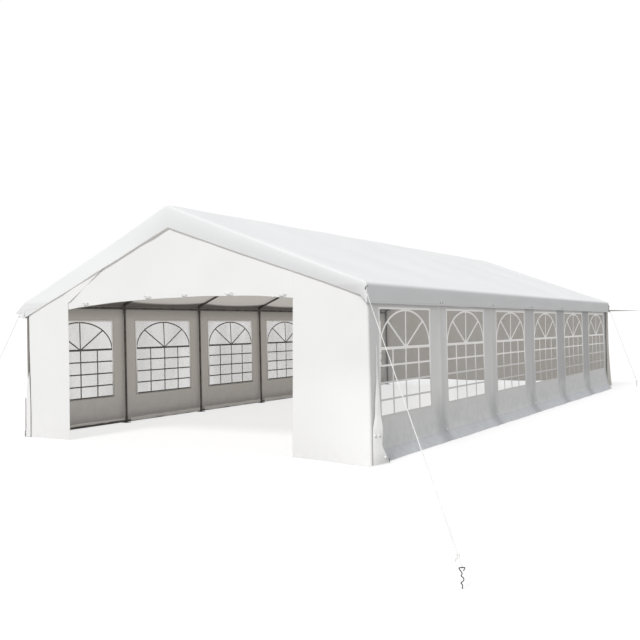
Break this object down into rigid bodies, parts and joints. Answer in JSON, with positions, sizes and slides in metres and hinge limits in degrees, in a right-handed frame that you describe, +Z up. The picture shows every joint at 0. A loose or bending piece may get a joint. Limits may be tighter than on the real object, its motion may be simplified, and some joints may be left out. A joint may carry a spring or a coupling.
{
  "type": "marquee tent",
  "caption": "Gabled marquee tent: steel tube frame, white sheet roof with valances, arched-window side walls, an open gable end with its door rolled up, guy ropes and ground stakes.",
  "frame": {"origin": "on the ground, at the middle of the tent's plan", "axes": "+Z up, +Y along the ridge from the open gable (-Y) to the closed one, +X to the right seen from the open gable"},
  "size_m": [11.314, 19.3662, 3.2999],
  "materials": {
    "galvanised_steel": "dull galvanised tube with darker handling marks",
    "stake_steel": "dark bent wire, satin",
    "roof_sheet": "coated woven white sheet, matt with a slight sheen",
    "wall_sheet": "coated woven white sheet, matt, lightly creased",
    "window_film": "clear soft film with printed window bars",
    "guy_rope": "pale braided cord"
  },
  "bodies": {
    "root": {"base_rail_left": "galvanised_steel", "leg_left_1": "galvanised_steel", "leg_left_2": "galvanised_steel", "leg_left_3": "galvanised_steel", "leg_left_4": "galvanised_steel", "leg_left_5": "galvanised_steel", "leg_left_6": "galvanised_steel", "leg_left_7": "galvanised_steel", "eave_beam_left": "galvanised_steel", "rafter_left_1": "galvanised_steel", "rafter_left_2": "galvanised_steel", "rafter_left_3": "galvanised_steel", "rafter_left_4": "galvanised_steel", "rafter_left_5": "galvanised_steel", "rafter_left_6": "galvanised_steel", "rafter_left_7": "galvanised_steel", "side_wall_left": "wall_sheet", "window_film_left": "window_film", "base_rail_right": "galvanised_steel", "leg_right_1": "galvanised_steel", "leg_right_2": "galvanised_steel", "leg_right_3": "galvanised_steel", "leg_right_4": "galvanised_steel", "leg_right_5": "galvanised_steel", "leg_right_6": "galvanised_steel", "leg_right_7": "galvanised_steel", "eave_beam_right": "galvanised_steel", "rafter_right_1": "galvanised_steel", "rafter_right_2": "galvanised_steel", "rafter_right_3": "galvanised_steel", "rafter_right_4": "galvanised_steel", "rafter_right_5": "galvanised_steel", "rafter_right_6": "galvanised_steel", "rafter_right_7": "galvanised_steel", "side_wall_right": "wall_sheet", "window_film_right": "window_film", "ridge_beam": "galvanised_steel", "roof_cover": "roof_sheet", "front_panel_left": "wall_sheet", "front_panel_right": "wall_sheet", "front_gable_panel": "wall_sheet", "rolled_door": "wall_sheet", "back_panel_left": "wall_sheet", "back_panel_right": "wall_sheet", "back_gable_panel": "wall_sheet", "back_door": "wall_sheet", "guy_rope_front_right": "guy_rope", "ground_stake_front_right": "stake_steel", "guy_rope_back_left": "guy_rope", "ground_stake_back_left": "stake_steel", "guy_rope_front_left": "guy_rope", "ground_stake_front_left": "stake_steel", "guy_rope_back_right": "guy_rope", "ground_stake_back_right": "stake_steel"}
  },
  "joints": []
}
